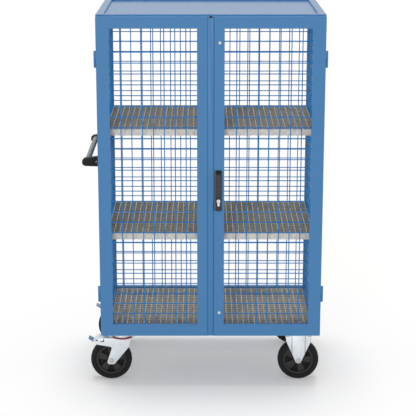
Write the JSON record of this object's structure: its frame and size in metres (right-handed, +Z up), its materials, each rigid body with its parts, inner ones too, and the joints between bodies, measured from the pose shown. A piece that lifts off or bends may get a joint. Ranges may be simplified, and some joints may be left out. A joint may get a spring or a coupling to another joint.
{
  "type": "mesh cabinet trolley",
  "caption": "Lockable mesh-walled cabinet trolley with two doors, grating shelves, a push handle and casters, for storing and moving goods behind a lock.",
  "frame": {"origin": "on the floor under the middle of the object's bounding box", "axes": "+X to the right as seen from the doors, +Y to the rear, +Z up; the doors face -Y and the push handle is at the -X end"},
  "size_m": [1.1385, 0.7404, 1.786],
  "materials": {
    "blue_paint": "satin blue powder coat",
    "zinc_plating": "bright zinc plating",
    "galvanised_grating": "galvanised",
    "bare_steel": "brushed tube",
    "black_plastic": "matt black",
    "lock_black": "fine black powder coat",
    "cylinder_nickel": "satin nickel",
    "tyre_rubber": "black rubber",
    "rim_plastic": "dark grey plastic",
    "red_seal": "red plastic"
  },
  "bodies": {
    "cabinet": {"corner_posts": "blue_paint", "top_rails": "blue_paint", "base_rails": "blue_paint", "roof_panel": "blue_paint", "caster_rails": "blue_paint", "rear_mesh": "blue_paint", "side_mesh_left": "blue_paint", "side_mesh_right": "blue_paint", "deck_grating": "galvanised_grating", "shelf_lower": "galvanised_grating", "shelf_upper": "galvanised_grating", "shelf_ledges": "blue_paint", "hinge_pins": "blue_paint", "rod_keepers": "zinc_plating", "handle_rail": "blue_paint", "handle_bar": "bare_steel", "handle_brackets": "black_plastic", "handle_screws": "zinc_plating", "swivel_plate_front": "zinc_plating", "swivel_plate_rear": "zinc_plating", "fixed_fork_front": "zinc_plating", "fixed_fork_rear": "zinc_plating", "fixed_axles": "zinc_plating", "caster_bolts": "zinc_plating"},
    "door_left": {"door_frame_left": "blue_paint", "door_mesh_left": "blue_paint", "centre_strip": "blue_paint", "hinge_knuckles_left": "blue_paint"},
    "door_right": {"door_frame_right": "blue_paint", "door_mesh_right": "blue_paint", "hinge_knuckles_right": "blue_paint", "lock_housing": "lock_black", "lock_case": "zinc_plating", "lock_faceplate": "lock_black", "key_cylinder": "cylinder_nickel", "rod_guides": "black_plastic", "door_screws": "zinc_plating"},
    "spindle": {"lock_spindle": "zinc_plating", "rod_pinion": "zinc_plating"},
    "lever": {"swing_handle": "lock_black"},
    "rod_upper": {"rod_upper": "zinc_plating"},
    "rod_lower": {"rod_lower": "zinc_plating"},
    "key_plug": {"key_plug": "cylinder_nickel"},
    "swivel_front": {"swivel_fork_front": "zinc_plating", "dust_seal_front": "red_seal", "swivel_axle_front": "zinc_plating"},
    "brake_front": {"brake_pedal_front": "zinc_plating"},
    "wheel_front_left": {"rim_front_left": "rim_plastic", "tyre_front_left": "tyre_rubber"},
    "wheel_front_right": {"rim_front_right": "rim_plastic", "tyre_front_right": "tyre_rubber"},
    "swivel_rear": {"swivel_fork_rear": "zinc_plating", "dust_seal_rear": "red_seal", "swivel_axle_rear": "zinc_plating"},
    "brake_rear": {"brake_pedal_rear": "zinc_plating"},
    "wheel_rear_left": {"rim_rear_left": "rim_plastic", "tyre_rear_left": "tyre_rubber"},
    "wheel_rear_right": {"rim_rear_right": "rim_plastic", "tyre_rear_right": "tyre_rubber"}
  },
  "joints": [
    {"name": "door_left_hinge", "type": "hinge", "parent": "cabinet", "child": "door_left", "pos_m": [-0.49407, -0.33625, 1.023], "axis": [0, 0, -1], "range_deg": [0, 180]},
    {"name": "door_right_hinge", "type": "hinge", "parent": "cabinet", "child": "door_right", "pos_m": [0.56353, -0.33625, 1.023], "axis": [0, 0, 1], "range_deg": [0, 180]},
    {"name": "lock_turn", "type": "hinge", "parent": "door_right", "child": "spindle", "pos_m": [0.07122, -0.35175, 1.045], "axis": [0, -1, 0], "range_deg": [0, 90]},
    {"name": "lever_lift", "type": "hinge", "parent": "spindle", "child": "lever", "pos_m": [0.07122, -0.36375, 1.045], "axis": [-1, 0, 0], "range_deg": [0, 45]},
    {"name": "rod_upper_slide", "type": "slide", "parent": "door_right", "child": "rod_upper", "axis": [0, 0, -1], "range_m": [0, 0.01571]},
    {"name": "rod_lower_slide", "type": "slide", "parent": "door_right", "child": "rod_lower", "axis": [0, 0, 1], "range_m": [0, 0.01571]},
    {"name": "key_turn", "type": "hinge", "parent": "door_right", "child": "key_plug", "pos_m": [0.07122, -0.35175, 0.921], "axis": [0, -1, 0], "range_deg": [0, 90]},
    {"name": "swivel_front_turn", "type": "hinge", "parent": "cabinet", "child": "swivel_front", "pos_m": [-0.39327, -0.23375, 0.214], "axis": [0, 0, 1], "continuous": true},
    {"name": "brake_front_press", "type": "hinge", "parent": "swivel_front", "child": "brake_front", "pos_m": [-0.50577, -0.23375, 0.194], "axis": [0, -1, 0], "range_deg": [0, 15]},
    {"name": "wheel_front_left_spin", "type": "hinge", "parent": "swivel_front", "child": "wheel_front_left", "pos_m": [-0.44777, -0.23375, 0.1], "axis": [0, 1, 0], "continuous": true},
    {"name": "wheel_front_right_spin", "type": "hinge", "parent": "cabinet", "child": "wheel_front_right", "pos_m": [0.46272, -0.23375, 0.1], "axis": [0, 1, 0], "continuous": true},
    {"name": "swivel_rear_turn", "type": "hinge", "parent": "cabinet", "child": "swivel_rear", "pos_m": [-0.39327, 0.27425, 0.214], "axis": [0, 0, 1], "continuous": true},
    {"name": "brake_rear_press", "type": "hinge", "parent": "swivel_rear", "child": "brake_rear", "pos_m": [-0.50577, 0.27425, 0.194], "axis": [0, -1, 0], "range_deg": [0, 15]},
    {"name": "wheel_rear_left_spin", "type": "hinge", "parent": "swivel_rear", "child": "wheel_rear_left", "pos_m": [-0.44777, 0.27425, 0.1], "axis": [0, 1, 0], "continuous": true},
    {"name": "wheel_rear_right_spin", "type": "hinge", "parent": "cabinet", "child": "wheel_rear_right", "pos_m": [0.46272, 0.27425, 0.1], "axis": [0, 1, 0], "continuous": true}
  ],
  "couplings": [
    {"joint": "rod_upper_slide", "follows": "lock_turn", "m_per_rad": 0.01},
    {"joint": "rod_lower_slide", "follows": "lock_turn", "m_per_rad": 0.01}
  ]
}
